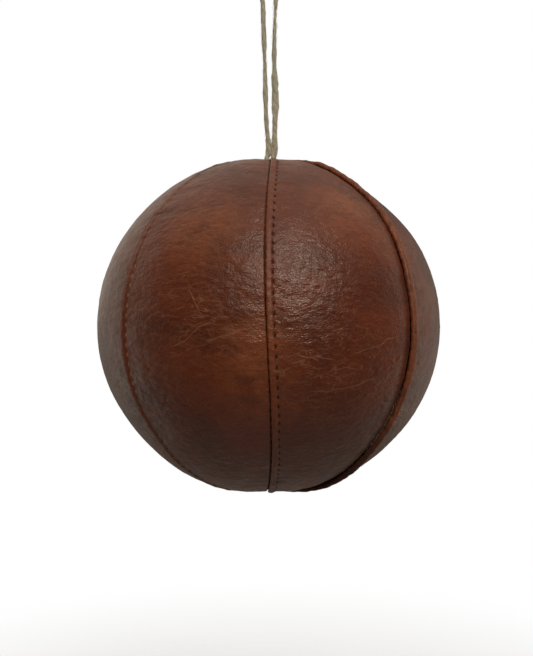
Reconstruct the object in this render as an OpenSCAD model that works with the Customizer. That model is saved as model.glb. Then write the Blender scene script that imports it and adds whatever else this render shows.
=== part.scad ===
// Hanging leather medicine ball. Eight stitched leather gores over a lining bag of packed filling, hung on a loop of
// jute twine that a wooden bead anchors inside. Millimetres, +Z up. The origin is the inner top of the twine loop,
// where a hook holds it, and the ball's axis is the Z axis. The seam at azimuth -90 degrees faces the front.

/* [Ball] */
// Width of the ball across its equator, over the leather
ball_width = 150; // [140:1:170]
// How much shorter each half of the ball is than it is wide
flattening = 2; // [1:0.5:3]
// Thickness of the leather
leather = 1.4; // [1.2:0.1:1.6]

/* [Seams] */
// Gap between the edges of two panels, on each side of the seam
seam_gap = 0.1; // [0.05:0.05:0.2]
// Width of the raised folded edge beside each seam
fold_width = 3; // [2.5:0.1:3.2]
// How far the folded edge stands above the panel
fold_rise = 1; // [0.6:0.1:1.2]
// Width of the seam allowances turned inside
allowance = 5.5; // [5:0.1:6]
// Distance from one stitch to the next
stitch_pitch = 3.7; // [3.4:0.1:4.2]
// Diameter of the sewing thread
thread_d = 0.8; // [0.6:0.1:1]

/* [Twine] */
// Diameter of the jute twine
twine_d = 2; // [1.6:0.1:2]
// Distance between the two strands where they enter the ball
strand_gap = 3; // [2.6:0.1:3]
// Height of the hang point above the top of the ball
twine_drop = 97; // [97:1:97]

/* [Anchor] */
// Radius of the hole in the leather for the twine
hole_r = 2.9; // [2.9:0.1:3.2]
// Diameter of the wooden bead
bead_d = 14; // [12:0.5:15]
// Height of the wooden bead
bead_h = 9; // [8:0.5:10]

/* [Hidden] */
GORES = 8;
GORE_ANGLE = 360 / GORES;
FRONT = -90;

LEATHER_COLOR = "sienna";
THREAD_COLOR = "#3b2418";
CLOTH_COLOR = "wheat";
TWINE_COLOR = "#a08a62";

$fn = 64;
far = 200;
clear = 0.15;

// The ball's outline is an oval of four tangent arcs: a side arc about (side_c, 0) and a pole arc about (0, -pole_c).
equator_r = ball_width / 2;
pole_r = equator_r - flattening;
side_c = 2 * flattening;
pole_c = 1.5 * flattening;
side_arc = equator_r - side_c;
pole_arc = pole_r + pole_c;
joint_angle = acos(0.8);
joint_x = pole_arc * 0.8;
side_length = side_arc * joint_angle * PI / 180;

// Depths below the outer leather surface.
fold_in = 2 * leather;
tongue_out = fold_in + clear;
tongue_in = tongue_out + leather;
bag_over_seams = tongue_in + 0.3;
bag_between = leather + 0.3;
bag_thick = 0.8;
patch_out = leather + clear;
patch_in = patch_out + leather;

// Allowances are trimmed back near the poles, where the patches are.
trim_r = 14;
patch_r = 13.4;
turn_down = 1.6;
edge_step = 0.1;
stitch_offset = fold_width + 0.6;
stitch_length = 2.4;
stitch_end_r = 16;

centre_z = -twine_drop - pole_r;
twine_r = twine_d / 2;
pivot_rise = 2.5;
pivot_z = -twine_drop + pivot_rise;
bead_bore_r = strand_gap / 2 + twine_r + 0.6;
bead_top = -twine_drop - patch_in - 0.35;
knot_r = 4.2;
knot_z = bead_top - bead_h - knot_r + 0.4;
pocket_r = bead_d / 2 + 2.5;
pocket_floor = knot_z - knot_r - 2.5;

// Route of the twine outside the ball, from the left strand's foot over the loop to the right strand's foot.
loop_route = [
    [-1.5, 0, -93.2],
    [-0.6, 0, -90],
    [-0.4, 0, -85.5],
    [-1, 0, -80],
    [-1.3, 0, -68],
    [-1.8, 0, -50],
    [-2, 0, -36],
    [-2.4, 0, -24],
    [-3.4, 0, -16],
    [-4.5, 0, -9.5],
    [-5, 0, -4.2],
    [-3.5, 0, -0.5],
    [0.2, 0, 1],
    [3.9, 0, -0.5],
    [5.4, 0, -4.2],
    [5, 0, -9.5],
    [4.2, 0, -16],
    [3.5, 0, -24],
    [3, 0, -36],
    [2.8, 0, -50],
    [3.3, 0, -68],
    [2.8, 0, -80],
    [2.6, 0, -85.5],
    [2.4, 0, -90],
    [1.5, 0, -93.2]
];

// ---- the ball's shape ----

// Half outline of the ball, sunk by a depth all round.
module half_oval(depth) {
    intersection() {
        translate([0, -far])
            square([far, 2 * far]);
        union() {
            translate([side_c, 0])
                circle(r = side_arc - depth);
            intersection() {
                translate([0, -pole_c])
                    circle(r = pole_arc - depth);
                translate([0, pole_c])
                    circle(r = pole_arc - depth);
                square([2 * joint_x, 2 * far], center = true);
            }
        }
    }
}

// The ball as a solid, sunk by a depth all round.
module oval(depth) {
    translate([0, 0, centre_z])
        rotate_extrude()
            half_oval(depth);
}

module oval_shell(outer, inner) {
    difference() {
        oval(outer);
        oval(inner);
    }
}

// Radius and height of the outer surface at arc length s from the equator.
function normal_angle(s) =
    abs(s) < side_length
        ? s / side_arc * 180 / PI
        : sign(s) * (joint_angle + (abs(s) - side_length) / pole_arc * 180 / PI);
function oval_r(a) = abs(a) < joint_angle ? side_c + side_arc * cos(a) : pole_arc * cos(a);
function oval_z(a) = abs(a) < joint_angle ? side_arc * sin(a) : pole_arc * sin(a) - sign(a) * pole_c;
stitch_reach = side_length + (acos(stitch_end_r / pole_arc) - joint_angle) * PI / 180 * pole_arc;
stitch_count = floor(stitch_reach / stitch_pitch);

// ---- seams ----

// Turns a child to the seam on the left of panel i.
module at_seam(i) {
    rotate([0, 0, FRONT + (i - 1) * GORE_ANGLE])
        children();
}

// A slab beside a seam plane, from one distance to another across it, and outward from the axis.
module seam_slab(from, to, start) {
    translate([start, from, -far - 100])
        cube([far, to - from, 2 * far]);
}

// The wedge between two seams, less the gap at each.
module wedge() {
    start = seam_gap / sin(GORE_ANGLE / 2);
    rotate([0, 0, GORE_ANGLE / 2])
        translate([start, 0, -far - 100])
            linear_extrude(height = 2 * far)
                polygon([
                    [0, 0],
                    [far, -far * tan(GORE_ANGLE / 2)],
                    [far, far * tan(GORE_ANGLE / 2)]
                ]);
}

// ---- leather ----

// One gore. Its left edge is folded under and stands proud. Its right edge turns down and runs under the next fold.
module panel(i) {
    color(LEATHER_COLOR)
        at_seam(i)
            difference() {
                union() {
                    intersection() {
                        oval_shell(0, leather);
                        wedge();
                    }
                    folded_edge();
                    rotate([0, 0, GORE_ANGLE])
                        turned_edge();
                }
                twine_hole();
            }
}

// The layers stop just short of the cut edges, as pressed leather does.
module folded_edge() {
    intersection() {
        oval_shell(-fold_rise, fold_in);
        seam_slab(seam_gap + edge_step, fold_width, trim_r);
    }
    intersection() {
        oval_shell(0, fold_in);
        seam_slab(seam_gap + edge_step, allowance, trim_r);
    }
}

module turned_edge() {
    intersection() {
        oval_shell(0, tongue_in);
        seam_slab(-turn_down, -seam_gap - edge_step, trim_r);
    }
    intersection() {
        oval_shell(tongue_out, tongue_in);
        seam_slab(-turn_down / 2, allowance, trim_r);
    }
}

module twine_hole() {
    translate([0, 0, centre_z])
        cylinder(r = hole_r, h = far);
}

module top_patch() {
    color(LEATHER_COLOR)
        difference() {
            intersection() {
                oval_shell(patch_out, patch_in);
                translate([0, 0, centre_z])
                    cylinder(r = patch_r, h = far);
            }
            twine_hole();
        }
}

module bottom_patch() {
    color(LEATHER_COLOR)
        intersection() {
            oval_shell(patch_out, patch_in);
            translate([0, 0, centre_z - far])
                cylinder(r = patch_r, h = far);
        }
}

// ---- thread ----

// A row of topstitches along the edge of the fold right of seam i.
module topstitch(i) {
    color(THREAD_COLOR)
        at_seam(i)
            for (k = [-stitch_count:stitch_count]) {
                a = normal_angle(k * stitch_pitch);
                x = sqrt(oval_r(a) * oval_r(a) - stitch_offset * stitch_offset);
                translate([x, stitch_offset, centre_z + oval_z(a)])
                    rotate([0, -a, 0])
                        cylinder(d = thread_d, h = stitch_length, center = true, $fn = 24);
            }
}

// The stitches that join two panels below the fold, each one crossing the seam.
module seam_thread(i) {
    color(THREAD_COLOR)
        at_seam(i)
            for (k = [-stitch_count:stitch_count]) {
                a = normal_angle(k * stitch_pitch);
                depth = leather * 1.5;
                translate([oval_r(a) - depth * cos(a), 0, centre_z + oval_z(a) - depth * sin(a)])
                    rotate([90, 0, 0])
                        cylinder(d = thread_d, h = 2 * turn_down, center = true, $fn = 24);
            }
}

// ---- filling ----

// The filling's outer shape: full between the seams, lower under the allowances and the patches.
module filling_shape(between, under_seams, margin) {
    oval(under_seams);
    difference() {
        oval(between);
        for (i = [1:GORES])
            at_seam(i)
                seam_slab(-turn_down - margin, allowance + margin, patch_r - 4);
        translate([0, 0, -far - 100])
            cylinder(r = trim_r + margin, h = 2 * far);
    }
}

module anchor_pocket(r) {
    translate([0, 0, pocket_floor])
        cylinder(r = r, h = far);
}

module lining_bag() {
    color(CLOTH_COLOR)
        difference() {
            filling_shape(bag_between, bag_over_seams, 0.3);
            filling_shape(bag_between + bag_thick, bag_over_seams + bag_thick, 0.3 + bag_thick);
            anchor_pocket(pocket_r);
        }
}

module stuffing() {
    color("tan")
        difference() {
            filling_shape(
                bag_between + bag_thick + clear,
                bag_over_seams + bag_thick + clear,
                0.3 + bag_thick + clear
            );
            anchor_pocket(pocket_r);
        }
}

// ---- twine and its anchor ----

// Points of a smooth curve through the route, three for each stretch of it.
function route_point(p, i, t) =
    let (
        n = len(p) - 1,
        a = p[max(i - 1, 0)],
        b = p[i],
        c = p[min(i + 1, n)],
        d = p[min(i + 2, n)]
    )
    0.5 * (2 * b + (c - a) * t + (2 * a - 5 * b + 4 * c - d) * t * t + (3 * b - a - 3 * c + d) * t * t * t);
function smooth_route(p) = [
    for (i = [0:len(p) - 2])
        for (t = [0, 1 / 2])
            route_point(p, i, t),
    p[len(p) - 1]
];
function unit(v) = v / norm(v);
function ring(p, i, r, sides) =
    let (
        along = unit(p[min(i + 1, len(p) - 1)] - p[max(i - 1, 0)]),
        across = unit(cross(along, [0, 1, 0])),
        up = cross(across, along)
    )
    [for (k = [0:sides - 1]) p[i] + r * (cos(360 * k / sides) * across + sin(360 * k / sides) * up)];

// A round tube of a few sides swept along points.
module tube(p, r, sides = 8) {
    rings = len(p);
    points = [for (i = [0:rings - 1]) each ring(p, i, r, sides)];
    walls = [
        for (i = [0:rings - 2])
            for (k = [0:sides - 1])
                let (n = (k + 1) % sides)
                [i * sides + k, i * sides + n, (i + 1) * sides + n, (i + 1) * sides + k]
    ];
    start = [for (k = [sides - 1:-1:0]) k];
    end = [for (k = [0:sides - 1]) (rings - 1) * sides + k];
    polyhedron(points = points, faces = concat(walls, [start, end]), convexity = 4);
}

module twine_loop() {
    color(TWINE_COLOR)
        tube(smooth_route(loop_route), twine_r);
}

// The two strands inside the hole and the bead. Their round tops turn about the swing axis.
module twine_neck() {
    color(TWINE_COLOR)
        for (side = [-1, 1])
            translate([side * strand_gap / 2, 0, 0]) {
                translate([0, 0, knot_z])
                    cylinder(r = twine_r, h = pivot_z - knot_z);
                translate([0, 0, pivot_z])
                    sphere(r = twine_r);
            }
}

module anchor_bead() {
    edge = 2;
    color("burlywood")
        translate([0, 0, bead_top - bead_h])
            rotate_extrude()
                difference() {
                    union() {
                        square([bead_d / 2 - edge, bead_h]);
                        translate([0, edge])
                            square([bead_d / 2, bead_h - 2 * edge]);
                        for (z = [edge, bead_h - edge])
                            translate([bead_d / 2 - edge, z])
                                circle(r = edge);
                    }
                    square([bead_bore_r, bead_h]);
                }
}

module turn_of_twine(r) {
    rotate_extrude()
        translate([r, 0])
            circle(r = twine_r);
}

module twine_knot() {
    turn_r = knot_r - twine_r;
    color(TWINE_COLOR)
        translate([0, 0, knot_z]) {
            sphere(r = turn_r);
            rotate([70, 0, 0])
                turn_of_twine(turn_r);
            rotate([80, 0, 75])
                turn_of_twine(turn_r);
            rotate([15, 10, 0])
                turn_of_twine(turn_r);
        }
}

for (i = [1:GORES]) {
    panel(i);
    topstitch(i);
    seam_thread(i);
}
top_patch();
bottom_patch();
lining_bag();
stuffing();
twine_loop();
twine_neck();
anchor_bead();
twine_knot();
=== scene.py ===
"""The looks of the hanging leather medicine ball.

Eight stitched leather gores with folded seams, and a loop of jute twine. Lengths are in millimetres in the
CAD model's frame, unless a name or comment says metres.
"""

import math

import bpy
import numpy as np
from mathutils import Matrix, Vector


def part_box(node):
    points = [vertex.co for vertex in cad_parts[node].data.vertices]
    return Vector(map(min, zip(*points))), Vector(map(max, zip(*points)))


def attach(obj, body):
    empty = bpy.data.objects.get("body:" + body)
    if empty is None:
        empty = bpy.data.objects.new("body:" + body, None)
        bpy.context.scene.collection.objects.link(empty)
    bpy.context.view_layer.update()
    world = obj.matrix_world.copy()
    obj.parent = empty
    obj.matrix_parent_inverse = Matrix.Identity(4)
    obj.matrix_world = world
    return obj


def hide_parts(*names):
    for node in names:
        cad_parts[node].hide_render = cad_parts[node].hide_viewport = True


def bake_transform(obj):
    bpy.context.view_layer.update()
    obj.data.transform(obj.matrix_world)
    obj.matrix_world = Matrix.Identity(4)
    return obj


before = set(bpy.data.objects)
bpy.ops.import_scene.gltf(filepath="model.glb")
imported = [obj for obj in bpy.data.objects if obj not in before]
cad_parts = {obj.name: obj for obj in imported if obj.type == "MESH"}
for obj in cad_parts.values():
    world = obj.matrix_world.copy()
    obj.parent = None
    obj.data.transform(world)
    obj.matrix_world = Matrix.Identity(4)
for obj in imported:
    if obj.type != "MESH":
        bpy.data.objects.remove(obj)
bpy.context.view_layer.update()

# ---------------------------------------------------------------- sizes

MM = 0.001
GORES = 8
GORE_ANGLE = 2 * math.pi / GORES
FRONT_SEAM = -math.pi / 2
STITCH_PITCH = 3.7

low, high = (np.array(corner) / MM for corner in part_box("panel_1"))
POLE_R = (high[2] - low[2]) / 2
CENTRE_Z = (high[2] + low[2]) / 2
FLATTENING = 2.0
EQUATOR_R = POLE_R + FLATTENING
SIDE_C = 2 * FLATTENING
SIDE_ARC = EQUATOR_R - SIDE_C
POLE_ARC = POLE_R + 1.5 * FLATTENING
JOINT_ANGLE = math.acos(0.8)
SIDE_LENGTH = SIDE_ARC * JOINT_ANGLE
QUARTER = SIDE_LENGTH + (math.pi / 2 - JOINT_ANGLE) * POLE_ARC

# The sheet's thickness, each fold's radius, the stitches' distance from the fold, and the grain side's
# mesh step.
LEATHER = 1.2
FOLD_R = [0.7, 1.1, 0.7, 0.7, 0.7, 0.7, 0.7, 0.7]
STITCH_T = 2.8
SPACING = 0.47
# Where a gore is narrower than FULL_WIDTH, its seam details shrink with it. The tips stop short of both
# poles.
FULL_WIDTH = 13
LEAST_SHRINK = 0.02
BOTTOM_TIP = 1.1
TOP_TIP = 3.4
# Each stitch pulls both edges of a seam together. The gap is shared between the fold and the edge under it.
STITCH_PULL = 0.12
FOLD_SHARE = 0.6
EDGE_SHARE = 0.4


def oval(s):
    """Normal angle, radius and height of the ball's outline at arc length s from the equator."""
    over = np.maximum(np.abs(s) - SIDE_LENGTH, 0)
    a = np.sign(s) * (np.minimum(np.abs(s), SIDE_LENGTH) / SIDE_ARC + over / POLE_ARC)
    side = np.abs(s) < SIDE_LENGTH
    rho = np.where(side, SIDE_C + SIDE_ARC * np.cos(a), POLE_ARC * np.cos(a))
    z = np.where(side, SIDE_ARC * np.sin(a), POLE_ARC * np.sin(a) - np.sign(a) * 1.5 * FLATTENING)
    return a, rho, z


def smooth(low_end, high_end, x):
    t = np.clip((x - low_end) / (high_end - low_end), 0, 1)
    return t * t * (3 - 2 * t)


def bump(x, centre, width):
    return np.exp(-(((x - centre) / width) ** 2))


# ---------------------------------------------------------------- repeatable noise


def lattice(ix, iy, iz, seed):
    """A number from 0 to 1 for each lattice point, the same in every run."""
    h = (ix * 73856093) ^ (iy * 19349663) ^ (iz * 83492791) ^ (seed * 2654435761)
    h = (h ^ (h >> 13)) * 1274126177 & 0xFFFFFFFF
    h = (h ^ (h >> 16)) * 2246822519 & 0xFFFFFFFF
    return ((h ^ (h >> 15)) & 0xFFFFFF) / 0xFFFFFF


def noise(p, seed):
    """Smooth value noise from -1 to 1 at points p, one lattice cell per unit."""
    base = np.floor(p).astype(np.int64)
    f = p - base
    f = f * f * f * (f * (f * 6 - 15) + 10)
    total = 0
    for dx in (0, 1):
        for dy in (0, 1):
            for dz in (0, 1):
                weight = (
                    np.where(dx, f[..., 0], 1 - f[..., 0])
                    * np.where(dy, f[..., 1], 1 - f[..., 1])
                    * np.where(dz, f[..., 2], 1 - f[..., 2])
                )
                value = lattice(base[..., 0] + dx, base[..., 1] + dy, base[..., 2] + dz, seed)
                total = total + weight * value
    return 2 * total - 1


def fractal(p, seed, octaves=3):
    return sum(noise(p * 2**k, seed + 17 * k) / 2**k for k in range(octaves)) / (2 - 0.5 ** (octaves - 1))


def cells(p, seed):
    """Distance to the nearest and second nearest of one scattered point per lattice cell."""
    base = np.floor(p).astype(np.int64)
    first = np.full(p.shape[:-1], 9.0)
    second = first.copy()
    for dx in (-1, 0, 1):
        for dy in (-1, 0, 1):
            for dz in (-1, 0, 1):
                cell = base + (dx, dy, dz)
                spot = np.stack([lattice(*np.moveaxis(cell, -1, 0), seed + k) for k in range(3)], -1)
                d = np.linalg.norm(cell + spot - p, axis=-1)
                second = np.where(d < first, first, np.minimum(second, d))
                first = np.minimum(first, d)
    return first, second


# ---------------------------------------------------------------- seams


def seam_shift(seam, s):
    """How far a seam wanders sideways, so that it isn't a drawn line. The front one is a slow S."""
    fade = 1 - smooth(85, 112, np.abs(s))
    if seam == 1:
        return -1.2 * np.sin(2 * np.pi * (s + 14) / 150) * fade
    phase = 2.4 * seam
    aside = -2.9 * bump(s, -4, 42) if seam == 8 else 0
    return (aside + 0.5 * np.sin(s / 27 + phase) + 0.25 * np.sin(s / 11 + 2 * phase)) * fade


def fold_rise(seam, s):
    """How far the folded edge stands above the panels. The one on the front right is lifted most."""
    rise = {1: 0.6, 2: 1.35, 8: 0.45}.get(seam, 0.8 + 0.3 * math.sin(2.1 * seam))
    wave = 0.1 * np.sin(s / 17 + seam) + (0.4 * smooth(25, -50, s) if seam == 2 else 0)
    if seam == 8:
        wave = wave - 0.25 * smooth(-15, 25, s)
    return (rise + wave) * (0.45 + 0.55 * smooth(0, 30, QUARTER - np.abs(s)))


def seam_gap(seam, s):
    """Width of the open groove beside the folded edge."""
    gap = {1: 0.13, 8: 0.08}.get(seam, 0.2)
    if seam == 2:
        gap = 0.03 + 0.4 * bump(s, 27, 7) + 0.1 * bump(s, 0, 14) + 0.4 * smooth(-42, -60, s)
    return gap + 0.15 * (s / 80) ** 2 * smooth(0, 25, QUARTER - np.abs(s))


def stitch_wave(s):
    """1 at the middle of each stitch and 0 between two."""
    return 0.5 + 0.5 * np.cos(2 * np.pi * s / STITCH_PITCH)


# ---------------------------------------------------------------- the leather's surface


def on_ball(azimuth, s, height):
    """Points at a height above the ball's outline."""
    a, rho, z = oval(s)
    r = rho + height * np.cos(a)
    return np.stack([r * np.cos(azimuth), r * np.sin(azimuth), CENTRE_Z + z + height * np.sin(a)], -1)


def direction(longitude, latitude):
    """Unit vector from the ball's centre, with longitude 0 at the front and growing to the right."""
    lon, lat = math.radians(longitude), math.radians(latitude)
    return np.array([math.sin(lon) * math.cos(lat), -math.cos(lon) * math.cos(lat), math.sin(lat)])


def near(p, longitude, latitude, width):
    """1 at a direction, falling off over a width in degrees."""
    unit = (p - (0, 0, CENTRE_Z)) / np.linalg.norm(p - (0, 0, CENTRE_Z), axis=-1, keepdims=True)
    angle = np.degrees(np.arccos(np.clip(unit @ direction(longitude, latitude), -1, 1)))
    return bump(angle, 0, width)


GORE_COLUMNS = 24
SIM_ROWS = 97
SIM_POLE = 3
SIM_SCALE = 0.01
SIM_FRAMES = 20
SIM_START_NOISE = 0.5
SLOW_ROWS = 6
SLOW_SHARE = 0.2
PUCKER_SHARE = 0.45


def stuffed_swell():
    """How far the leather moves outwards when the stuffing swells it between its tight seams.

    A grid of rows by arc length and columns by azimuth, from a cloth simulation of a coarse ball, ten times
    as large.
    """
    columns, rows = GORE_COLUMNS * GORES, SIM_ROWS
    azimuth = FRONT_SEAM + np.arange(columns) * 2 * np.pi / columns
    s = np.linspace(-QUARTER + SIM_POLE, QUARTER - SIM_POLE, rows)[:, None]
    start = on_ball(azimuth, s + 0 * azimuth, 0)
    out = on_ball(azimuth, s + 0 * azimuth, 1) - start
    start = start + SIM_START_NOISE * noise(start / 11, 81)[..., None] * out
    index = np.arange(rows * columns).reshape(rows, columns)
    points, faces = lofted(start)
    ball = new_object("stuffed_ball", points * SIM_SCALE / MM, faces)
    seams = ball.vertex_groups.new(name="seams")
    seams.add(index[:, ::GORE_COLUMNS].ravel().tolist(), 1.0, "REPLACE")
    poles = ball.vertex_groups.new(name="poles")
    poles.add([*range(columns), *range((rows - 1) * columns, rows * columns)], 1.0, "REPLACE")
    cloth = ball.modifiers.new("cloth", "CLOTH").settings
    cloth.quality = 5
    cloth.tension_stiffness = cloth.compression_stiffness = 15
    cloth.shear_stiffness = 5
    cloth.bending_stiffness = 0.2
    cloth.use_pressure = True
    cloth.uniform_pressure_force = 4
    cloth.vertex_group_shrink = "seams"
    cloth.shrink_min = -0.04
    cloth.shrink_max = 0.03
    cloth.vertex_group_mass = "poles"
    cloth.effector_weights.gravity = 0
    scene = bpy.context.scene
    for step in range(1, SIM_FRAMES + 1):
        scene.frame_set(step)
    moved = np.empty(3 * rows * columns, np.float32)
    ball.evaluated_get(bpy.context.evaluated_depsgraph_get()).data.vertices.foreach_get("co", moved)
    scene.frame_set(1)
    bpy.data.objects.remove(ball)
    swell = ((moved.reshape(rows, columns, 3) / SIM_SCALE - start) * out).sum(-1)
    slow = np.stack([np.roll(swell, k, axis=0) for k in range(-SLOW_ROWS, SLOW_ROWS + 1)]).mean(0)
    end = SLOW_ROWS + 1
    slow[:end], slow[-end:] = slow[end], slow[-end - 1]
    level = slow.mean(axis=1, keepdims=True)
    puckers = np.clip(swell - slow, -1, 1) * smooth(0, 14, QUARTER - 8 - np.abs(s))
    return SLOW_SHARE * (slow - level) + PUCKER_SHARE * puckers


def swollen(azimuth, s):
    """The simulated swell at any place, by a cubic B-spline through the grid."""
    rows, columns = SWELL.shape
    u = np.clip((s + QUARTER - SIM_POLE) / (2 * QUARTER - 2 * SIM_POLE), 0, 1) * (rows - 1)
    v = (azimuth - FRONT_SEAM) / (2 * np.pi) * columns
    iu, iv = np.floor(u).astype(int), np.floor(v).astype(int)

    def weights(f):
        return (1 - f) ** 3 / 6, (3 * f**3 - 6 * f**2 + 4) / 6, (3 * (f**2 - f**3 + f) + 1) / 6, f**3 / 6

    wu, wv = weights(u - iu), weights(v - iv)
    return sum(
        wu[i] * wv[j] * SWELL[np.clip(iu + i - 1, 0, rows - 1), (iv + j - 1) % columns]
        for i in range(4)
        for j in range(4)
    )


def ball_shape(p):
    """Uneven packing: slow swells and a few flats."""
    swell = 0.55 * fractal(p / 46, 3, 2)
    flats = 1.5 * near(p, 76, 50, 15) + 0.6 * near(p, -70, -38, 13) + 0.9 * near(p, 160, 20, 20)
    return swell - flats


def pucker(p, edge):
    """Short wrinkles that run away from a seam."""
    long_ones = 0.1 * np.exp(-edge / 8) * noise(p / (15, 15, 3.4), 21)
    short_ones = 0.07 * noise(p / (9, 9, 2.4), 22) * np.exp(-edge / 20)
    return long_ones + short_ones


def loose(p):
    """How slack the hide is: most around the upper front, elsewhere in patches."""
    patches = 0.22 + 0.33 * smooth(-0.3, 0.5, noise(p / 24, 51))
    patches = patches * (1 - 0.7 * smooth(20, 36, p[..., 2] - CENTRE_Z))
    return patches + 0.95 * near(p, 14, 13, 12) + 0.6 * near(p, -7, 15, 6)


def pillows(p):
    """Small soft cushions between level folds."""
    warped = p + 0.9 * np.stack([noise(p / 3.6, 31 + k) for k in range(3)], -1)
    first, second = cells(warped / (5.4, 5.4, 2.5), 41)
    return 0.28 * (smooth(0, 0.8, second - first) - 0.5) * loose(p)


def surface(panel, azimuth, s, left, right, shrink):
    """Height of a panel's grain side above the ball's outline.

    left and right are the distances to its seams, and shrink is how small the seam's details are here.
    """
    p = on_ball(azimuth, s, 0 * s)
    inner = np.minimum(left, right)
    ridges = {8: 1.4, 2: 0.8}
    next_seam = panel % GORES + 1
    ridge = ridges.get(panel, 0) * np.exp(-left / 13) + ridges.get(next_seam, 0) * np.exp(-right / 13)
    crown = swollen(azimuth, s) + ridge * smooth(0, 40, QUARTER - np.abs(s))
    inside, outside = {2: (2.2, 5.4)}.get(panel, (1.5, 3.4))
    band = fold_rise(panel, s) * (1 - smooth(inside, outside, left / shrink))
    holes = 0.4 * bump(left / shrink, STITCH_T, 0.42) * stitch_wave(s) ** 2 * shrink
    shoulder, edge = {1: (0.45, 0.1), 8: (0.2, 0.5), 7: (0.2, 0.5)}.get(panel, (0.3, 0.8))
    drop = shoulder * bump(right, 0, 3.2 + 1.8 * shoulder) + edge * (1 - smooth(0, 0.7, right / shrink))
    pull = 0.06 * (1 - stitch_wave(s)) * bump(left / shrink, 1.3, 1.0)
    skin = ball_shape(p) + crown - drop
    relief = pucker(p, inner) * smooth(3, 6, left / shrink) * smooth(0.5, 3, right)
    return skin + relief + pillows(p) * (0.3 + 0.7 * smooth(3, 5, left)) + band - holes + pull


# ---------------------------------------------------------------- meshes


def new_object(name, points, faces, attributes=()):
    """A smooth shaded mesh from points in millimetres.

    attributes are (name, values) pairs with one value per point.
    """
    mesh = bpy.data.meshes.new(name)
    mesh.from_pydata((np.asarray(points) * MM).tolist(), [], faces)
    mesh.polygons.foreach_set("use_smooth", [True] * len(mesh.polygons))
    for key, values in attributes:
        layer = mesh.attributes.new(key, "FLOAT", "POINT")
        layer.data.foreach_set("value", np.asarray(values, np.float32))
    mesh.update()
    obj = bpy.data.objects.new(name, mesh)
    bpy.context.scene.collection.objects.link(obj)
    return obj


def lofted(rings):
    """Points and faces of a capped tube through rings, an array of rows, ring points and coordinates."""
    rows, count = rings.shape[:2]
    index = np.arange(rows * count).reshape(rows, count)
    after = np.roll(index, -1, axis=1)
    walls = np.stack([index[:-1], after[:-1], after[1:], index[1:]], -1).reshape(-1, 4)
    caps = [index[0, ::-1].tolist(), index[-1].tolist()]
    return rings.reshape(-1, 3), walls.tolist() + caps


def panel_columns(radius):
    """Sideways places across a panel's grain side, from the fold's round edge to the panel's other edge."""
    over = int(round((EQUATOR_R * GORE_ANGLE - 9) / SPACING))
    left = np.concatenate([np.linspace(radius, 1.75, 4), np.linspace(2.0, 5.3, 12)])
    right = np.concatenate([[4.0, 3.3, 2.6, 2.0, 1.5, 1.15], np.linspace(0.85, 0, 7)])
    return left, np.linspace(0, 1, over + 2)[1:-1], right


# Columns of the grain side that the layer under the fold and the hem's bend copy.
UNDER_FOLD = [15, 11, 7, 4, 1]
HEM_BEND = [15, 10, 6, 2]
# The tongue that runs under the next fold: how far past the seam and how deep.
TONGUE_T = np.array([0.5, 1.6, 2.8, 3.8, 5.2])
TONGUE_DEPTH = np.array([1.75, 1.8, 1.95, 2.75, 2.8])
FOLD_TURN = np.radians(np.linspace(262, 98, 10))
# How much lighter each fold is painted, partly for wear and partly as painted light on its lip, and how wide
# this is, by panel, and how much shade is painted into the needle holes.
WEAR_AND_LIT_EDGE = {1: (0.4, 2.0), 2: (1.0, 3.7), 8: (0.2, 2.0)}
OTHER_WEAR_AND_LIT_EDGE = (0.6, 2.0)
HOLE_SHADE = {1: 1.0, 2: 0.1, 8: 0.15}
OTHER_HOLE_SHADE = 0.5


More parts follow.
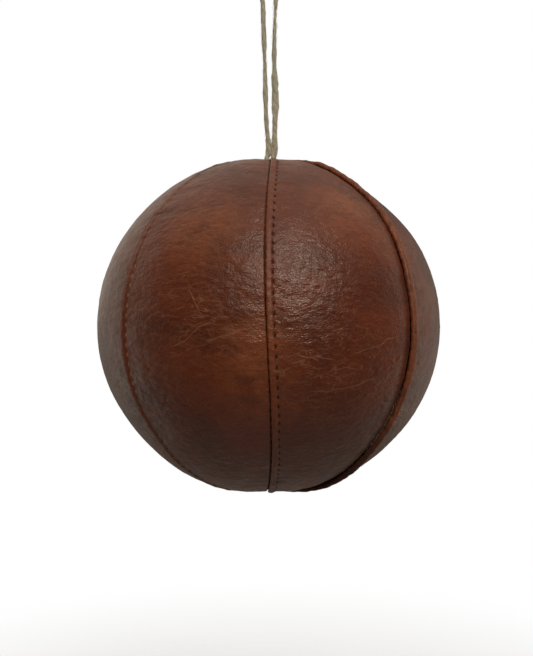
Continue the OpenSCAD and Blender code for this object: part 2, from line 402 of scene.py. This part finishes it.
def leather_panel(panel):
    """One gore as a closed sheet of leather.

    Its left edge is folded under and its right edge runs below the next fold.
    """
    rows = int(2 * (QUARTER - 4) / SPACING)
    s = np.linspace(-QUARTER + BOTTOM_TIP, QUARTER - TOP_TIP, rows)[:, None]
    _, rho, _ = oval(s)
    next_seam = panel % GORES + 1
    shift = seam_shift(panel, s)
    width = rho * GORE_ANGLE - shift + seam_shift(next_seam, s)
    shrink = np.clip(width / FULL_WIDTH, LEAST_SHRINK, 1)
    start = FRONT_SEAM + (panel - 1) * GORE_ANGLE + shift / rho
    wave = STITCH_PULL * stitch_wave(s)
    fold_start = (FOLD_SHARE * seam_gap(panel, s) - wave) * shrink
    edge_end = (EDGE_SHARE * seam_gap(next_seam, s) - wave) * shrink

    radius = FOLD_R[panel - 1]
    left, across, right = panel_columns(radius)
    near_left = left * shrink + fold_start
    near_right = width - edge_end - right * shrink
    middle = near_left[:, -1:] + (near_right[:, :1] - near_left[:, -1:]) * across
    top_t = np.concatenate([near_left, middle, near_right], 1)
    whole_s = np.broadcast_to(s, top_t.shape)
    whole_shrink = np.broadcast_to(shrink, top_t.shape)
    to_left = top_t - fold_start
    to_right = width - edge_end - top_t
    top = surface(panel, start + top_t / rho, whole_s, to_left, to_right, whole_shrink)

    roll_t = fold_start + radius * shrink * (1 + np.cos(FOLD_TURN))
    roll_n = top[:, :1] + radius * shrink * (np.sin(FOLD_TURN) - 1)
    under_t = top_t[:, UNDER_FOLD]
    under_n = top[:, UNDER_FOLD] - 2 * radius * shrink

    tongue_t = width + TONGUE_T * shrink
    tongue_n = -TONGUE_DEPTH * shrink
    tongue_n = tongue_n + ball_shape(on_ball(start + tongue_t / rho, s + 0 * tongue_t, 0 * tongue_t))

    keep = np.linspace(len(left) + 3, top_t.shape[1] - 1, 16).round().astype(int)
    back_t = np.concatenate([tongue_t[:, ::-1], top_t[:, keep[::-1]]], 1)
    back_n = np.concatenate([tongue_n[:, ::-1], top[:, keep[::-1]]], 1) - LEATHER * shrink
    hem_t = np.concatenate([top_t[:, HEM_BEND], top_t[:, HEM_BEND[::-1]]], 1)
    hem_top = top[:, HEM_BEND] - 0.94 * radius * shrink
    hem_bottom = top[:, HEM_BEND[::-1]] - 1.06 * radius * shrink
    hem_n = np.concatenate([hem_top, hem_bottom], 1)

    t = np.concatenate([under_t, roll_t, top_t, tongue_t, back_t, hem_t], 1)
    n = np.concatenate([under_n, roll_n, top, tongue_n, back_n, hem_n], 1)
    rings = on_ball(start + t / rho, s + 0 * t, n)
    points, faces = lofted(rings)

    under_end = under_t.shape[1]
    roll_end = under_end + roll_t.shape[1]
    top_end = roll_end + top_t.shape[1]
    # Painted shade: the groove mask darkens the layer under the fold, the tongue, back and hem, and the
    # panel's edge where it drops into the seam's gap.
    groove = np.zeros_like(t)
    groove[:, top_end:] = 1
    groove[:, : under_end + 1] = 1
    groove = np.maximum(groove, (1 - smooth(0.05, 0.4, (width - edge_end - t) / shrink)))
    if panel == 2:
        # Painted shade: the low end of the lifted fold faces the floor, so its colour is darkened there.
        groove[:, :roll_end] = np.maximum(groove[:, :roll_end], smooth(-36, -56, s))
    # The fold's lighter edge is partly wear and partly painted light on the lifted lip.
    worn_and_lit, width_of_wear_and_light = WEAR_AND_LIT_EDGE.get(panel, OTHER_WEAR_AND_LIT_EDGE)
    from_fold = (t - fold_start) / shrink
    fold = worn_and_lit * (1 - smooth(width_of_wear_and_light, width_of_wear_and_light + 0.8, from_fold)) * (1 - groove)
    # Painted shade in the dimples of the needle holes.
    hole = bump(from_fold, STITCH_T, 0.4) * stitch_wave(s) ** 2 * HOLE_SHADE.get(panel, OTHER_HOLE_SHADE)
    obj = new_object(
        f"leather_panel_{panel}",
        points,
        faces,
        [("groove", groove.ravel()), ("fold", fold.ravel()), ("hole", hole.ravel())],
    )
    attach(obj, "ball")
    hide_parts(f"panel_{panel}")
    return obj


STITCH_HALF = 0.95
STITCH_RINGS = 9
THREAD_R = 0.26
THREAD_LIFT = 0.14
THREAD_DIP = 0.85
THREAD_SIDES = 8
THREAD_TURN = 1.1


def stitch_ring(centre, out, side, radius, turn):
    """One ring of a two-ply thread."""
    angle = np.linspace(0, 2 * np.pi, THREAD_SIDES, endpoint=False)
    reach = radius * (1 + 0.16 * np.cos(2 * (angle - turn)))
    return centre + reach[:, None] * (np.cos(angle)[:, None] * out + np.sin(angle)[:, None] * side)


def topstitch_row(seam):
    """Thread that rises out of one hole, lies in its dimple and goes down the next, once for each stitch."""
    reach = int((QUARTER - 15) / STITCH_PITCH)
    arc = np.linspace(-1, 1, STITCH_RINGS)
    points, faces = [], []
    for k in range(-reach, reach + 1):
        s = k * STITCH_PITCH + STITCH_HALF * arc
        _, rho, _ = oval(s)
        shift = seam_shift(seam, s)
        width = rho * GORE_ANGLE - shift + seam_shift(seam % GORES + 1, s)
        shrink = np.clip(width / FULL_WIDTH, LEAST_SHRINK, 1)
        t = (FOLD_SHARE * seam_gap(seam, s) - STITCH_PULL * stitch_wave(s) + STITCH_T) * shrink
        azimuth = FRONT_SEAM + (seam - 1) * GORE_ANGLE + (shift + t) / rho
        floor = surface(seam, azimuth, s, STITCH_T * shrink, width - t, shrink)
        height = floor + THREAD_LIFT - THREAD_DIP * np.abs(arc) ** 3
        line = on_ball(azimuth, s, height)
        out = on_ball(azimuth, s, height + 1) - line
        along = np.gradient(line, axis=0)
        along /= np.linalg.norm(along, axis=1, keepdims=True)
        side = np.cross(along, out)
        side /= np.linalg.norm(side, axis=1, keepdims=True)
        out = np.cross(side, along)
        radius = THREAD_R * (1 - 0.35 * np.abs(arc) ** 6)
        rings = [
            stitch_ring(line[j], out[j], side[j], radius[j], THREAD_TURN * j)
            for j in range(STITCH_RINGS)
        ]
        p, f = lofted(np.stack(rings))
        base = sum(map(len, points))
        points.append(p)
        faces += [[base + v for v in face] for face in f]
    obj = new_object(f"topstitch_row_{seam}", np.concatenate(points), faces)
    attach(obj, "ball")
    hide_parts(f"topstitch_{seam}")
    return obj


# ---------------------------------------------------------------- twine

TWINE_D = 2.0
STRAND_X = 1.5
KNOT_Z = sum(corner[2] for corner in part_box("twine_knot")) / 2 / MM
LOOP_ROUTE = [
    (-0.6, 0, -94.5),
    (0.3, 0, -91.5),
    (0.1, 0, -86.5),
    (-0.7, 0, -79),
    (-1.1, 0, -68),
    (-1.5, 0, -50),
    (-2, 0, -36),
    (-2.4, 0, -24),
    (-3.4, 0, -16),
    (-4.5, 0, -9.5),
    (-5, 0, -4.2),
    (-3.5, 0, -0.5),
    (0.2, 0, 1),
    (3.9, 0, -0.5),
    (5.4, 0, -4.2),
    (5, 0, -9.5),
    (4.2, 0, -16),
    (3.5, 0, -24),
    (3, 0, -36),
    (2.8, 0, -50),
    (3.3, 0, -68),
    (3.1, 0, -79),
    (2.9, 0, -86.5),
    (2.9, 0, -91.5),
    (2.3, 0, -94.5),
]
NECK_HEIGHTS = [KNOT_Z, -108, -103, -99]
TWINE_STEP = 0.3
TWINE_SIDES = 24
TWIST_LENGTH = 15
FIBRES = 1100
FIBRE_R = 0.06
# The right strand is flattened more in some places than in others, the left one is the same all along.
RIGHT_STRAND_Z = [-92, -84, -70, -52, -30]
RIGHT_STRAND_WIDTH = [1.55, 1.4, 1.6, 1.15, 0.8]
LEFT_STRAND_WIDTH = 1.05


def smooth_route(route, steps):
    """A Catmull-Rom curve through the route."""
    p = np.array(route, float)
    p = np.concatenate([2 * p[:1] - p[1:2], p, 2 * p[-1:] - p[-2:-1]])
    t = np.linspace(0, 1, steps, endpoint=False)[:, None]
    line = [
        0.5 * (2 * b + (c - a) * t + (2 * a - 5 * b + 4 * c - d) * t**2 + (3 * b - a - 3 * c + d) * t**3)
        for a, b, c, d in zip(p, p[1:], p[2:], p[3:])
    ]
    return np.concatenate([*line, p[-2:-1]])


def even_steps(line, step):
    """The line's points again, a step apart."""
    length = np.concatenate([[0], np.cumsum(np.linalg.norm(np.diff(line, axis=0), axis=1))])
    at = np.linspace(0, length[-1], int(length[-1] / step) + 1)
    return np.stack([np.interp(at, length, line[:, k]) for k in range(3)], 1)


def jute_fibres(line, across, up, rng):
    """Loose fibres that lift off the twine, each a thin tapered tube."""
    points, faces = [], []
    for _ in range(FIBRES):
        i = rng.integers(4, len(line) - 12)
        angle, lift, length = rng.uniform(0, 2 * np.pi), rng.uniform(0.1, 1.0) ** 2, rng.uniform(1.5, 4.5)
        swirl = rng.uniform(-0.16, 0.16)
        along = line[i + 1] - line[i]
        along /= np.linalg.norm(along)
        along *= rng.choice([-1, 1])
        out = np.cos(angle) * across[i] + np.sin(angle) * up[i]
        side = np.cross(along, out)
        u = np.linspace(0, 1, 6)[:, None]
        root = line[i] + out * TWINE_D * 0.42
        fibre = root + along * length * u + out * lift * 1.3 * u**1.5 + side * swirl * length * u**2
        radius = FIBRE_R * (1 - 0.75 * u[:, 0])
        ring = np.array([0, 2 * np.pi / 3, 4 * np.pi / 3])
        rings = fibre[:, None] + radius[:, None, None] * (
            np.cos(ring)[None, :, None] * out + np.sin(ring)[None, :, None] * side
        )
        p, f = lofted(rings)
        base = sum(map(len, points))
        points.append(p)
        faces += [[base + v for v in face] for face in f]
    return np.concatenate(points), faces


def jute_twine():
    """One length of three-ply twine from the knot, up round the loop and back down to the knot."""
    route = (
        [(-STRAND_X, 0, z) for z in NECK_HEIGHTS]
        + LOOP_ROUTE
        + [(STRAND_X, 0, z) for z in reversed(NECK_HEIGHTS)]
    )
    line = even_steps(smooth_route(route, 12), TWINE_STEP)
    along = np.gradient(line, axis=0)
    along /= np.linalg.norm(along, axis=1, keepdims=True)
    across = np.cross(along, (0, 1, 0))
    across /= np.linalg.norm(across, axis=1, keepdims=True)
    up = np.cross(across, along)
    run = np.arange(len(line)) * TWINE_STEP
    angle = np.linspace(0, 2 * np.pi, TWINE_SIDES, endpoint=False)[None, :]
    uneven = 1.4 * noise(np.stack([run / 14, 0 * run, 0 * run], -1), 71)[:, None]
    twist = 2 * np.pi * run[:, None] / TWIST_LENGTH + uneven
    ply = np.abs(np.cos(1.5 * (angle - twist)))
    thick = 1 + 0.32 * noise(np.stack([run / 6, 0 * run, 0 * run + 0.5], -1), 72)[:, None]
    right_run = line[:, :1] > 0
    right_width = np.interp(line[:, 2:], RIGHT_STRAND_Z, RIGHT_STRAND_WIDTH)
    flat = np.where(right_run, right_width, LEFT_STRAND_WIDTH)
    down = np.broadcast_to(run[:, None] / 3.5, ply.shape)
    strand = noise(np.stack([down, 9 * np.cos(angle - twist), 9 * np.sin(angle - twist)], -1), 73)
    reach = TWINE_D / 2 * thick * (0.85 + 0.1 * ply + 0.17 * strand)
    rings = line[:, None] + reach[..., None] * (
        (flat * np.cos(angle))[..., None] * across[:, None] + np.sin(angle)[..., None] * up[:, None]
    )
    points, faces = lofted(rings)
    fibre_points, fibre_faces = jute_fibres(line, across, up, np.random.default_rng(7))
    faces += [[len(points) + v for v in face] for face in fibre_faces]
    # Painted shade in the hollows between the plies.
    depth = np.concatenate([(1 - ply).ravel(), np.zeros(len(fibre_points))])
    obj = new_object("jute_twine", np.concatenate([points, fibre_points]), faces, [("depth", depth)])
    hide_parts("twine_loop", "twine_neck")
    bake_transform(obj)
    return obj


# ---------------------------------------------------------------- materials


class Nodes:
    """Short calls for building one material's nodes."""

    def __init__(self, name):
        self.material = bpy.data.materials.new(name)
        self.material.use_nodes = True
        self.tree = self.material.node_tree
        self.shader = self.tree.nodes["Principled BSDF"]

    def add(self, kind, inputs=(), **settings):
        node = self.tree.nodes.new(kind)
        for key, value in settings.items():
            setattr(node, key, value)
        for key, value in dict(inputs).items():
            self.feed(node, key, value)
        return node

    def feed(self, node, key, value):
        if hasattr(value, "is_output"):
            self.tree.links.new(value, node.inputs[key])
        else:
            node.inputs[key].default_value = value

    def place(self, *scale):
        """Object coordinates in millimetres divided by a size."""
        where = self.add("ShaderNodeTexCoord").outputs["Object"]
        size = [1 / (MM * x) for x in scale]
        return self.add("ShaderNodeMapping", {"Vector": where, "Scale": size}).outputs[0]

    def noise(self, place, detail=4.0, rough=0.5, distort=0.0):
        inputs = {"Vector": place, "Scale": 1.0, "Detail": detail, "Roughness": rough, "Distortion": distort}
        return self.add("ShaderNodeTexNoise", inputs).outputs["Fac"]

    def cracks(self, place):
        inputs = {"Vector": place, "Scale": 1.0}
        return self.add("ShaderNodeTexVoronoi", inputs, feature="DISTANCE_TO_EDGE").outputs["Distance"]

    def math(self, operation, *values):
        node = self.add("ShaderNodeMath", dict(enumerate(values)), operation=operation)
        return node.outputs[0]

    def vector(self, operation, *values):
        return self.add("ShaderNodeVectorMath", dict(enumerate(values)), operation=operation)

    def ramp(self, value, low, high, out_low=0.0, out_high=1.0):
        inputs = {"Value": value, "From Min": low, "From Max": high, "To Min": out_low, "To Max": out_high}
        return self.add("ShaderNodeMapRange", inputs, interpolation_type="SMOOTHSTEP").outputs[0]

    def mix(self, share, first, second):
        node = self.add("ShaderNodeMix", data_type="RGBA")
        self.feed(node, 0, share)
        self.feed(node, 6, first if hasattr(first, "is_output") else (*first, 1))
        self.feed(node, 7, second if hasattr(second, "is_output") else (*second, 1))
        return node.outputs[2]

    def attribute(self, name):
        return self.add("ShaderNodeAttribute", attribute_name=name).outputs["Fac"]

    def bump(self, height, distance, strength=1.0, under=None):
        inputs = {"Height": height, "Distance": distance * MM, "Strength": strength}
        if under is not None:
            inputs["Normal"] = under
        return self.add("ShaderNodeBump", inputs).outputs[0]

    def near(self, longitude, latitude, width, squeeze=1.0):
        """1 at a direction from the ball's centre, falling to 0 at a width in millimetres."""
        spot = direction(longitude, latitude) * EQUATOR_R + (0, 0, CENTRE_Z)
        where = self.add("ShaderNodeTexCoord").outputs["Object"]
        away = self.vector("SUBTRACT", where, spot * MM).outputs[0]
        away = self.vector("MULTIPLY", away, (1, 1, squeeze)).outputs[0]
        far = self.vector("LENGTH", away).outputs["Value"]
        return self.ramp(far, 0, width * MM, 1, 0)

    def finish(self, **sockets):
        for key, value in sockets.items():
            self.feed(self.shader, key.replace("_", " "), value)
        return self.material


LEATHER_DARK = (0.066, 0.0125, 0.0040)
LEATHER_MID = (0.108, 0.0215, 0.0068)
LEATHER_LIGHT = (0.215, 0.060, 0.020)
LEATHER_CREASE = (0.26, 0.120, 0.070)
# Painted shade for the needle holes' dimples.
HOLE_PAINTED_SHADE = (0.012, 0.004, 0.003)
# Painted shade for the seams' gaps and the layers hidden under the folds.
GROOVE_PAINTED_SHADE = (0.044, 0.0095, 0.0042)

# The ends of the longest creases, each a longitude and a latitude in degrees.
CREASE_LINES = [
    ((21.5, -8.0), (40.5, -2.7)),
    ((-18.5, -5.3), (-2.5, -0.5)),
    ((-23.0, 11.0), (-17.0, 1.5)),
    ((-13.0, 2.0), (-29.0, -7.0)),
    ((5.7, -7.0), (19.8, -10.0)),
    ((9.0, -19.0), (35.0, -14.0)),
]


def crease_line(m, offset, start, end):
    """One long crease between two directions, a wavering great circle that thins out at its ends."""
    one, two = direction(*start), direction(*end)
    across = np.cross(one, two) / np.linalg.norm(np.cross(one, two))
    middle = (one + two) / np.linalg.norm(one + two)
    half = EQUATOR_R * math.acos(float(np.clip(one @ two, -1, 1))) / 2
    away = m.vector("DOT_PRODUCT", offset, across).outputs["Value"]
    waver = m.math("MULTIPLY_ADD", m.noise(m.place(9, 9, 9), 2), 0.005, -0.0025)
    line = m.ramp(m.math("ABSOLUTE", m.math("ADD", away, waver)), 0.0, 0.0004, 1, 0)
    spot = tuple(middle * EQUATOR_R * MM)
    far = m.vector("DISTANCE", offset, spot).outputs["Value"]
    return m.math("MULTIPLY", line, m.ramp(far, 0.5 * half * MM, half * MM, 1, 0))


def leather_material():
    """Waxed reddish-brown hide: mottled colour, pale crease lines, fold edges lighter from wear and from
    painted light, painted shade in the seams and needle holes, and a pebbled gloss.
    """
    m = Nodes("waxed_leather")
    cloud = m.noise(m.place(30, 30, 22), 4, 0.55, 0.4)
    fine = m.noise(m.place(2.8, 2.8, 1.6), 4, 0.6)
    colour = m.mix(m.ramp(cloud, 0.36, 0.6), LEATHER_DARK, LEATHER_MID)
    patches = m.math("MAXIMUM", m.near(-21, 29, 26), m.near(-4, -7, 23, 0.6))
    patches = m.math("MAXIMUM", patches, m.near(29, 35, 24))
    patches = m.math("MULTIPLY", patches, m.ramp(m.noise(m.place(9, 9, 6), 4, 0.6), 0.25, 0.62))
    wide = m.ramp(m.noise(m.place(52, 52, 40), 2, 0.5, 1.0), 0.55, 0.75)
    light = m.math("MAXIMUM", patches, m.math("MULTIPLY", wide, 0.25))
    colour = m.mix(m.math("MULTIPLY", light, 0.75), colour, LEATHER_LIGHT)
    colour = m.mix(m.ramp(fine, 0.35, 0.65, 0.0, 0.35), colour, LEATHER_DARK)
    speck = m.ramp(m.noise(m.place(0.9, 0.9, 0.7), 3, 0.6), 0.5, 0.7, 0.0, 0.3)
    colour = m.mix(speck, colour, LEATHER_LIGHT)

    warp = m.add("ShaderNodeTexNoise", {"Vector": m.place(8, 8, 8), "Scale": 1.0, "Detail": 2.0})
    zone = m.math("ADD", m.near(16, -10, 34), m.near(-20, 2, 34))
    zone = m.math("ADD", zone, m.ramp(m.noise(m.place(38, 38, 30), 2), 0.52, 0.7, 0.0, 0.6))
    crease = 0.0
    for size, sharp, share in (1.0, 0.055, 1.0), (0.6, 0.08, 0.35):
        place = m.place(9 * size, 9 * size, 3.4 * size)
        mixed = {0: 0.6, 1: place, 2: warp.outputs["Color"]}
        moved = m.add("ShaderNodeMixRGB", mixed, blend_type="ADD").outputs[0]
        lines = m.math("ABSOLUTE", m.math("SUBTRACT", m.noise(moved, 1.0, 0.5), 0.5))
        lines = m.ramp(lines, 0.0, 0.5 * sharp, 1, 0)
        lines = m.math("MAXIMUM", lines, m.ramp(m.cracks(moved), 0.0, sharp, 1, 0))
        broken = m.ramp(m.noise(m.place(6 * size, 6 * size, 2.4 * size), 1), 0.42, 0.62, 0.0, share)
        crease = m.math("MAXIMUM", crease, m.math("MULTIPLY", lines, broken))
    crease = m.math("MULTIPLY", m.math("MINIMUM", zone, 1.0), crease)
    where = m.add("ShaderNodeTexCoord").outputs["Object"]
    offset = m.vector("SUBTRACT", where, (0, 0, CENTRE_Z * MM)).outputs[0]
    for start, end in CREASE_LINES:
        crease = m.math("MAXIMUM", crease, crease_line(m, offset, start, end))
    colour = m.mix(m.math("MULTIPLY", crease, 0.45), colour, LEATHER_CREASE)

    # Lighter fold edges: partly wear, partly painted light on the lip.
    fold = m.attribute("fold")
    rubbed_and_lit = m.math("MULTIPLY", fold, m.ramp(m.noise(m.place(1.6, 1.6, 3.4), 3), 0.25, 0.6))
    colour = m.mix(m.math("MULTIPLY", rubbed_and_lit, 0.55), colour, LEATHER_LIGHT)
    # Painted shade in the needle holes' dimples.
    colour = m.mix(m.math("MULTIPLY", m.attribute("hole"), 0.85), colour, HOLE_PAINTED_SHADE)
    # Painted shade in the seams' gaps, by the groove mask.
    colour = m.mix(m.math("MULTIPLY", m.attribute("groove"), 0.8), colour, GROOVE_PAINTED_SHADE)

    pores = m.math("MULTIPLY", m.math("MINIMUM", m.cracks(m.place(1.1, 1.1, 0.8)), 0.3), 0.65)
    height = m.math("ADD", pores, m.math("MULTIPLY", m.noise(m.place(2.6, 2.6, 1.5), 2, 0.4), 1.15))
    normal = m.bump(height, 0.3, 1.0)
    normal = m.bump(crease, 0.07, 0.5, normal)
    rough = m.ramp(m.noise(m.place(5, 5, 5), 4, 0.6), 0.3, 0.7, 0.36, 0.47)
    rough = m.math("ADD", rough, m.math("MULTIPLY", fold, 0.15))
    rough = m.math("ADD", rough, m.math("MULTIPLY", m.attribute("groove"), 0.5))
    bloom = {"Sheen_Weight": 0.07, "Sheen_Roughness": 0.35, "Sheen_Tint": (1.0, 0.95, 0.86, 1)}
    return m.finish(Base_Color=colour, Roughness=rough, Normal=normal, Specular_IOR_Level=0.35, **bloom)


def thread_material(name, dark, light):
    """Waxed twisted thread."""
    m = Nodes(name)
    strands = m.noise(m.place(0.12, 0.12, 0.4), 3, 0.6, 0.8)
    colour = m.mix(m.ramp(strands, 0.35, 0.65), dark, light)
    normal = m.bump(strands, 0.08, 0.8)
    return m.finish(Base_Color=colour, Roughness=0.8, Normal=normal, Specular_IOR_Level=0.2)


def twine_material():
    """Dry jute: pale ridges of fibre over hollows darkened by painted shade."""
    m = Nodes("jute_fibre")
    hair = m.noise(m.place(0.16, 0.16, 1.8), 5, 0.65, 1.2)
    tone = m.noise(m.place(6, 6, 9), 3)
    colour = m.mix(m.ramp(hair, 0.36, 0.62), (0.11, 0.085, 0.045), (0.60, 0.56, 0.445))
    colour = m.mix(m.ramp(tone, 0.35, 0.65, 0.0, 0.55), colour, (0.31, 0.28, 0.215))
    # Painted shade in the hollows between the plies.
    colour = m.mix(m.ramp(m.attribute("depth"), 0.35, 1.0, 0.0, 0.35), colour, (0.09, 0.07, 0.045))
    sheen = {"Sheen_Weight": 0.25, "Sheen_Roughness": 0.5}
    return m.finish(Base_Color=colour, Roughness=0.9, Normal=m.bump(hair, 0.25, 0.9), **sheen)


def cloth_material(name, dark, light, size):
    """Plain woven cotton."""
    m = Nodes(name)
    where = m.add("ShaderNodeTexCoord").outputs["Object"]
    threads = [
        m.add(
            "ShaderNodeTexWave",
            {"Vector": where, "Scale": 0.5 / (size * MM), "Distortion": 1.0, "Detail": 2.0},
            bands_direction=axis,
        ).outputs["Fac"]
        for axis in ("Y", "Z")
    ]
    weave = m.math("MAXIMUM", *threads)
    colour = m.mix(weave, dark, light)
    colour = m.mix(m.ramp(m.noise(m.place(14, 14, 14)), 0.4, 0.7, 0, 0.3), colour, dark)
    return m.finish(Base_Color=colour, Roughness=0.9, Normal=m.bump(weave, 0.2))


def wood_material():
    """Plain turned wood with rings along the bead."""
    m = Nodes("bead_wood")
    inputs = {"Vector": m.place(3, 3, 14), "Scale": 1.0, "Distortion": 3.0}
    rings = m.add("ShaderNodeTexWave", inputs).outputs["Fac"]
    colour = m.mix(rings, (0.46, 0.28, 0.13), (0.66, 0.46, 0.26))
    return m.finish(Base_Color=colour, Roughness=0.55, Normal=m.bump(rings, 0.05))


def flesh_material():
    """The suede inner side of the leather."""
    m = Nodes("suede_patch")
    nap = m.noise(m.place(0.7, 0.7, 0.7), 5, 0.7)
    colour = m.mix(m.ramp(nap, 0.3, 0.7), (0.20, 0.11, 0.06), (0.34, 0.21, 0.12))
    return m.finish(Base_Color=colour, Roughness=0.95, Normal=m.bump(nap, 0.2))


def dress(obj, material):
    obj.data.materials.clear()
    obj.data.materials.append(material)


def dress_nodes(material, *names):
    for name in names:
        dress(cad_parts[name], material)


# ---------------------------------------------------------------- camera, lights and floor

CAMERA_AWAY = 4 * EQUATOR_R
LENS = 36.35
AIM_X = -0.7
AIM_Z = -1.1
SIDE_LIGHT = 1.5
BACK_LIGHT = 0.14
FRONT_LIGHT = 0.03
WARM = (1.0, 0.915, 0.78)


def add_camera():
    camera = bpy.data.objects.new("camera", bpy.data.cameras.new("camera"))
    camera.data.lens = LENS
    camera.data.sensor_width = 36
    camera.data.clip_start = 0.01
    camera.location = (AIM_X * MM, -CAMERA_AWAY * MM, (CENTRE_Z + AIM_Z) * MM)
    camera.rotation_euler = (math.pi / 2, 0, 0)
    bpy.context.scene.collection.objects.link(camera)
    bpy.context.scene.camera = camera


def add_light(name, place, size, watts):
    """A square soft light that points at the ball. place is from the ball's centre, in metres."""
    light = bpy.data.objects.new(name, bpy.data.lights.new(name, "AREA"))
    light.data.shape = "SQUARE"
    light.data.size = size
    light.data.energy = watts
    light.data.color = WARM
    x, y, z = place
    light.location = (x, y, z + CENTRE_Z * MM)
    flat = math.hypot(x, y)
    light.rotation_euler = (math.atan2(flat, z), 0, math.atan2(x, -y) if flat > 1e-6 else 0)
    bpy.context.scene.collection.objects.link(light)


def add_world():
    """Pale background. Its light on the ball is strongest from both sides and dim in front."""
    world = bpy.data.worlds.new("studio")
    bpy.context.scene.world = world
    world.use_nodes = True
    tree = world.node_tree
    tree.nodes.clear()
    new, link = tree.nodes.new, tree.links.new

    def span(value, low, high, out_low, out_high):
        node = new("ShaderNodeMapRange")
        keys = "From Min", "From Max", "To Min", "To Max"
        for key, number in zip(keys, (low, high, out_low, out_high)):
            node.inputs[key].default_value = number
        link(value, node.inputs["Value"])
        return node.outputs[0]

    def calculate(operation, *values):
        node = new("ShaderNodeMath")
        node.operation = operation
        for socket, value in zip(node.inputs, values):
            if hasattr(value, "is_output"):
                link(value, socket)
            else:
                socket.default_value = value
        return node.outputs[0]

    way = new("ShaderNodeSeparateXYZ")
    link(new("ShaderNodeTexCoord").outputs["Generated"], way.inputs[0])
    side = span(calculate("ABSOLUTE", way.outputs["X"]), 0.35, 0.85, 0.0, 1.0)
    behind = span(way.outputs["Y"], 0.0, 0.3, 0.0, 1.0)
    far_behind = span(way.outputs["Y"], 0.25, 0.75, 1.0, 0.2)
    strength = calculate("MULTIPLY", calculate("MULTIPLY", side, behind), far_behind)
    strength = calculate("MULTIPLY", strength, span(way.outputs["X"], -1.0, 1.0, 1.0, 0.84))
    strength = calculate("MULTIPLY_ADD", strength, SIDE_LIGHT, FRONT_LIGHT)
    strength = calculate("MULTIPLY_ADD", behind, BACK_LIGHT, strength)
    room = new("ShaderNodeBackground")
    room.inputs["Color"].default_value = (*WARM, 1)
    link(strength, room.inputs["Strength"])
    pale = new("ShaderNodeBackground")
    pale.inputs["Color"].default_value = (1, 1, 1, 1)
    choose = new("ShaderNodeMixShader")
    link(new("ShaderNodeLightPath").outputs["Is Camera Ray"], choose.inputs[0])
    link(room.outputs[0], choose.inputs[1])
    link(pale.outputs[0], choose.inputs[2])
    link(choose.outputs[0], new("ShaderNodeOutputWorld").inputs[0])


def add_floor():
    """A wide pale floor well below the ball, which fades into the background."""
    floor_z, radius, rings, sides = -0.62, 1.0, 12, 96
    points = [(0, 0, floor_z)]
    for r in range(1, rings + 1):
        for k in range(sides):
            reach, angle = radius * r / rings, 2 * math.pi * k / sides
            points.append((reach * math.cos(angle), reach * math.sin(angle), floor_z))
    faces = [(0, 1 + k, 1 + (k + 1) % sides) for k in range(sides)]
    for r in range(rings - 1):
        for k in range(sides):
            a, b = 1 + r * sides + k, 1 + r * sides + (k + 1) % sides
            faces.append((a, a + sides, b + sides, b))
    floor = new_object("floor", np.array(points) / MM, faces)
    m = Nodes("pale_floor")
    where = m.add("ShaderNodeTexCoord").outputs["Object"]
    flat = m.vector("MULTIPLY", where, (1, 1, 0)).outputs[0]
    far = m.vector("LENGTH", flat).outputs["Value"]
    plaster = m.noise(m.place(90, 90, 90), 3)
    colour = m.mix(m.ramp(plaster, 0.3, 0.7), (0.46, 0.46, 0.46), (0.50, 0.50, 0.50))
    glow = m.math("MULTIPLY", m.add("ShaderNodeLightPath").outputs["Is Camera Ray"], 0.45)
    m.feed(m.shader, "Emission Color", (1, 1, 1, 1))
    m.finish(Base_Color=colour, Roughness=0.9, Alpha=m.ramp(far, 0.3, 0.9, 1, 0), Emission_Strength=glow)
    dress(floor, m.material)


# ---------------------------------------------------------------- build

add_camera()
twine = jute_twine()
dress(twine, twine_material())

SWELL = stuffed_swell()
leather = leather_material()
topstitch_thread = thread_material("topstitch_thread", (0.010, 0.004, 0.0025), (0.034, 0.014, 0.008))
# Rows 2 and 8 get pale thread: partly wear, partly painted highlights along the stitch line.
worn_lit_thread = thread_material("worn_lit_topstitch_thread", (0.12, 0.045, 0.028), (0.30, 0.15, 0.10))
WORN_LIT_ROWS = 2, 8
seam_thread = thread_material("seam_thread", (0.012, 0.005, 0.003), (0.034, 0.014, 0.008))
for gore in range(1, GORES + 1):
    dress(leather_panel(gore), leather)
    dress(topstitch_row(gore), worn_lit_thread if gore in WORN_LIT_ROWS else topstitch_thread)
    dress_nodes(seam_thread, f"seam_thread_{gore}")
dress_nodes(flesh_material(), "top_patch", "bottom_patch")
dress_nodes(cloth_material("lining_cotton", (0.50, 0.43, 0.32), (0.72, 0.65, 0.52), 0.8), "lining_bag")
dress_nodes(cloth_material("rag_stuffing", (0.34, 0.31, 0.28), (0.55, 0.50, 0.44), 1.6), "stuffing")
dress_nodes(wood_material(), "anchor_bead")
dress_nodes(twine_material(), "twine_knot")

add_world()
add_light("top_softbox", (0.0, 0.02, 0.75), 1.0, 2.1)
add_light("front_lamp", (0.16, -0.6, 0.43), 0.2, 3.9)
add_light("front_fill", (-0.12, -0.9, 0.6), 1.2, 1.4)
add_light("back_fill", (-0.35, 0.9, 0.45), 1.0, 1.8)
add_floor()
bpy.context.scene.view_settings.view_transform = "Standard"
